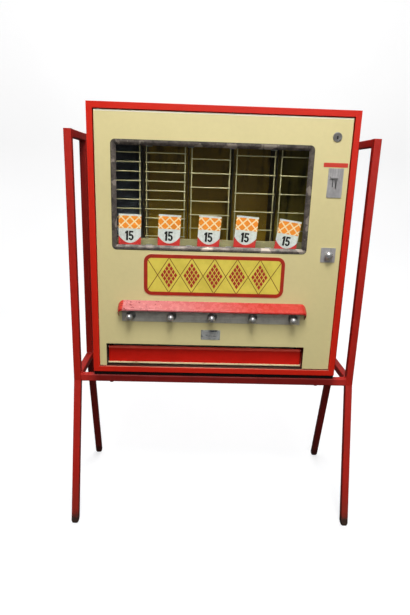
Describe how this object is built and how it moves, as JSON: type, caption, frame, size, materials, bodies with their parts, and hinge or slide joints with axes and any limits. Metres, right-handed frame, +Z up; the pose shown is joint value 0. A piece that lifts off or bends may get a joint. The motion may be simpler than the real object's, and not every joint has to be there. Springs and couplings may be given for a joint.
{
  "type": "pull-knob vending machine on stand",
  "caption": "Sheet-steel snack vending machine with pull knobs, window, sign, coin slot and delivery flap, on a free-standing stand of square tube.",
  "frame": {"origin": "on the floor, under the middle of the stand's footprint", "axes": "+Z up, the front with the window and knobs faces -Y, +X is to the right of a person facing it"},
  "size_m": [0.816, 0.3976, 1.1655],
  "materials": {
    "stand_red": "gloss enamel, worn at the legs",
    "cabinet_red": "gloss enamel",
    "door_cream": "gloss enamel, aged",
    "tray_cream": "worn enamel",
    "inner_cream": "satin enamel",
    "rack_wire": "lacquered wire",
    "black_plastic": "scuffed",
    "black_rubber": "matte",
    "zinc_steel": "zinc plated",
    "dark_paint": "satin",
    "knob_chrome": "polished",
    "trim_metal": "polished, dulled",
    "glass": "clear",
    "card": "printed card",
    "sign_yellow": "printed enamel",
    "strip_grey": "dulled",
    "coin_metal": "satin",
    "lock_steel": "nickel plated, dulled"
  },
  "bodies": {
    "cabinet": {"left_side_frame": "stand_red", "right_side_frame": "stand_red", "front_crossbar": "stand_red", "rear_crossbar": "stand_red", "cabinet_shell": "cabinet_red", "front_frame": "cabinet_red", "back_panel": "cabinet_red", "delivery_tray": "tray_cream", "mechanism_cover": "inner_cream", "rack_top_rail": "inner_cream", "column_rack_1": "rack_wire", "column_rack_2": "rack_wire", "column_rack_3": "rack_wire", "column_rack_4": "rack_wire", "column_rack_5": "rack_wire", "leg_end_plugs": "black_plastic", "shelf_spacers": "black_rubber", "mounting_bolts": "zinc_steel", "back_panel_screws": "zinc_steel", "mechanism_rail": "zinc_steel", "rocker_shaft": "zinc_steel", "drop_chute": "zinc_steel", "flap_rod": "zinc_steel", "lock_strike": "zinc_steel", "door_pivot_pins": "zinc_steel", "return_springs": "zinc_steel", "column_dividers": "dark_paint", "cash_box": "dark_paint"},
    "door": {"door_panel": "door_cream", "pivot_bushings": "zinc_steel", "window_trim": "trim_metal", "window_glass": "glass", "glass_clips": "zinc_steel", "price_cards": "card", "sign_plate": "sign_yellow", "pull_strip": "strip_grey", "knob_hood": "cabinet_red", "coin_plate": "coin_metal", "coin_chute": "zinc_steel", "return_plate": "coin_metal", "return_button_spring": "zinc_steel", "lock_body": "coin_metal"},
    "delivery_flap": {"delivery_flap": "cabinet_red"},
    "lock_plug": {"lock_plug": "lock_steel"},
    "return_button": {"return_button": "coin_metal"},
    "pull_1": {"pull_knob_1": "knob_chrome", "pull_rod_1": "zinc_steel"},
    "rocker_1": {"rocker_1": "zinc_steel"},
    "pull_2": {"pull_knob_2": "knob_chrome", "pull_rod_2": "zinc_steel"},
    "rocker_2": {"rocker_2": "zinc_steel"},
    "pull_3": {"pull_knob_3": "knob_chrome", "pull_rod_3": "zinc_steel"},
    "rocker_3": {"rocker_3": "zinc_steel"},
    "pull_4": {"pull_knob_4": "knob_chrome", "pull_rod_4": "zinc_steel"},
    "rocker_4": {"rocker_4": "zinc_steel"},
    "pull_5": {"pull_knob_5": "knob_chrome", "pull_rod_5": "zinc_steel"},
    "rocker_5": {"rocker_5": "zinc_steel"}
  },
  "joints": [
    {"name": "door_swing", "type": "hinge", "parent": "cabinet", "child": "door", "pos_m": [-0.3215, -0.0865, 0.802], "axis": [0, 0, -1], "range_deg": [0, 105]},
    {"name": "pull_1_slide", "type": "slide", "parent": "cabinet", "child": "pull_1", "axis": [0, -1, 0], "range_m": [0, 0.018], "stiffness_N_per_m": 300, "deforming": ["return_springs"]},
    {"name": "rocker_1_turn", "type": "hinge", "parent": "cabinet", "child": "rocker_1", "pos_m": [-0.2705, -0.0175, 0.6455], "axis": [-1, 0, 0], "range_deg": [0, 29]},
    {"name": "pull_2_slide", "type": "slide", "parent": "cabinet", "child": "pull_2", "axis": [0, -1, 0], "range_m": [0, 0.018], "stiffness_N_per_m": 300, "deforming": ["return_springs"]},
    {"name": "rocker_2_turn", "type": "hinge", "parent": "cabinet", "child": "rocker_2", "pos_m": [-0.15, -0.0175, 0.6455], "axis": [-1, 0, 0], "range_deg": [0, 29]},
    {"name": "pull_3_slide", "type": "slide", "parent": "cabinet", "child": "pull_3", "axis": [0, -1, 0], "range_m": [0, 0.018], "stiffness_N_per_m": 300, "deforming": ["return_springs"]},
    {"name": "rocker_3_turn", "type": "hinge", "parent": "cabinet", "child": "rocker_3", "pos_m": [-0.0295, -0.0175, 0.6455], "axis": [-1, 0, 0], "range_deg": [0, 29]},
    {"name": "pull_4_slide", "type": "slide", "parent": "cabinet", "child": "pull_4", "axis": [0, -1, 0], "range_m": [0, 0.018], "stiffness_N_per_m": 300, "deforming": ["return_springs"]},
    {"name": "rocker_4_turn", "type": "hinge", "parent": "cabinet", "child": "rocker_4", "pos_m": [0.091, -0.0175, 0.6455], "axis": [-1, 0, 0], "range_deg": [0, 29]},
    {"name": "pull_5_slide", "type": "slide", "parent": "cabinet", "child": "pull_5", "axis": [0, -1, 0], "range_m": [0, 0.018], "stiffness_N_per_m": 300, "deforming": ["return_springs"]},
    {"name": "rocker_5_turn", "type": "hinge", "parent": "cabinet", "child": "rocker_5", "pos_m": [0.2115, -0.0175, 0.6455], "axis": [-1, 0, 0], "range_deg": [0, 29]},
    {"name": "flap_swing", "type": "hinge", "parent": "cabinet", "child": "delivery_flap", "pos_m": [-0.029, -0.067, 0.5045], "axis": [1, 0, 0], "range_deg": [0, 60]},
    {"name": "lock_turn", "type": "hinge", "parent": "door", "child": "lock_plug", "pos_m": [0.293, -0.0855, 1.1], "axis": [0, -1, 0], "range_deg": [0, 90]},
    {"name": "return_press", "type": "slide", "parent": "door", "child": "return_button", "axis": [0, 1, 0], "range_m": [0, 0.006], "stiffness_N_per_m": 300, "deforming": ["return_button_spring"]}
  ],
  "couplings": [
    {"joint": "rocker_1_turn", "follows": "pull_1_slide", "rad_per_m": 27.778},
    {"joint": "rocker_2_turn", "follows": "pull_2_slide", "rad_per_m": 27.778},
    {"joint": "rocker_3_turn", "follows": "pull_3_slide", "rad_per_m": 27.778},
    {"joint": "rocker_4_turn", "follows": "pull_4_slide", "rad_per_m": 27.778},
    {"joint": "rocker_5_turn", "follows": "pull_5_slide", "rad_per_m": 27.778}
  ]
}
